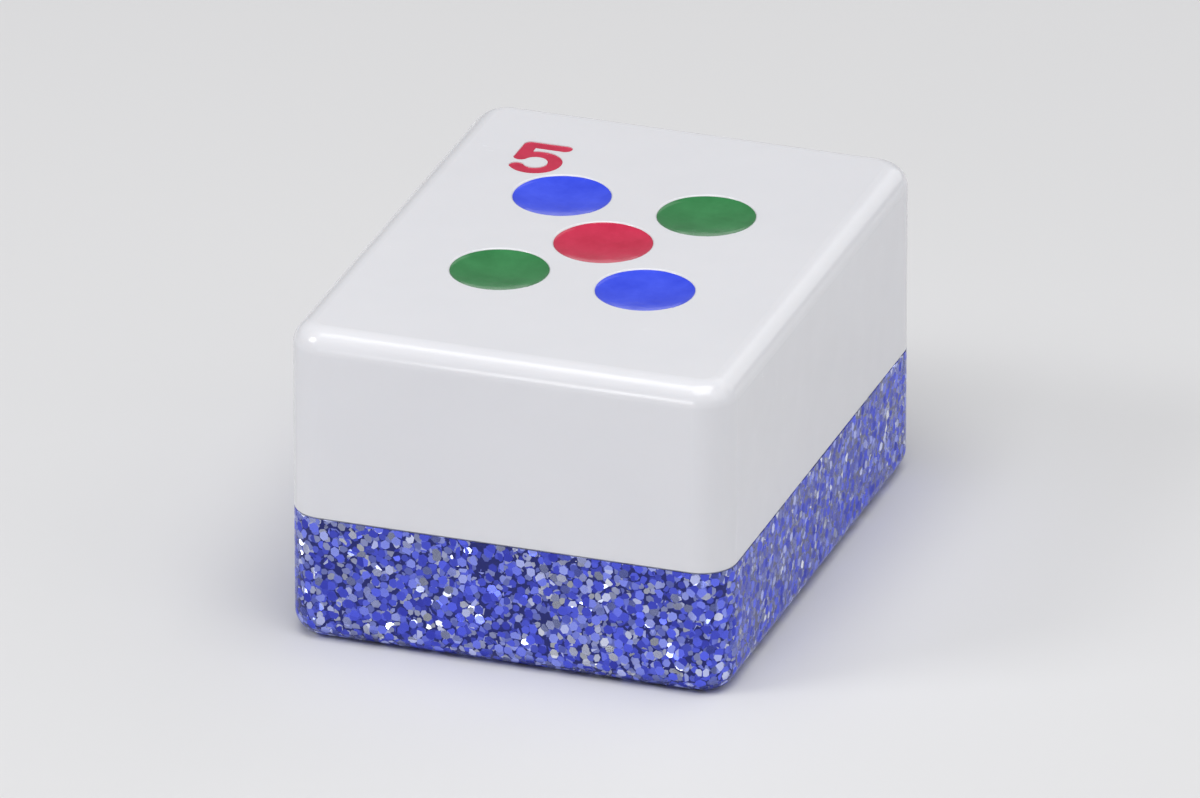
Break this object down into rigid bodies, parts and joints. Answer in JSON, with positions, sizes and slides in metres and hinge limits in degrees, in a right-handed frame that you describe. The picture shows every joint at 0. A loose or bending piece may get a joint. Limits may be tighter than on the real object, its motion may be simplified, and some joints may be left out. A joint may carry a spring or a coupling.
{
  "type": "mahjong tile",
  "caption": "Mahjong tile of a white face block bonded to a blue glitter back, with dots and a corner numeral engraved in the face and filled with paint.",
  "frame": {"origin": "centre of the back, which lies on the table when the tile is face up", "axes": "+Z out of the face, +Y along the tile to the top of its design, +X to the right of the design"},
  "size_m": [0.0274, 0.036, 0.02],
  "materials": {
    "glitter_back": "blue acrylic packed with glitter flakes, polished",
    "clear_bond": "clear cured adhesive",
    "white_resin": "white resin, polished",
    "blue_paint": "gloss enamel fill",
    "green_paint": "gloss enamel fill",
    "red_paint": "gloss enamel fill"
  },
  "bodies": {
    "root": {"back_block": "glitter_back", "bond_film": "clear_bond", "face_block": "white_resin", "dot_top_left": "blue_paint", "dot_top_right": "green_paint", "dot_centre": "red_paint", "dot_bottom_left": "green_paint", "dot_bottom_right": "blue_paint", "corner_numeral": "red_paint"}
  },
  "joints": []
}
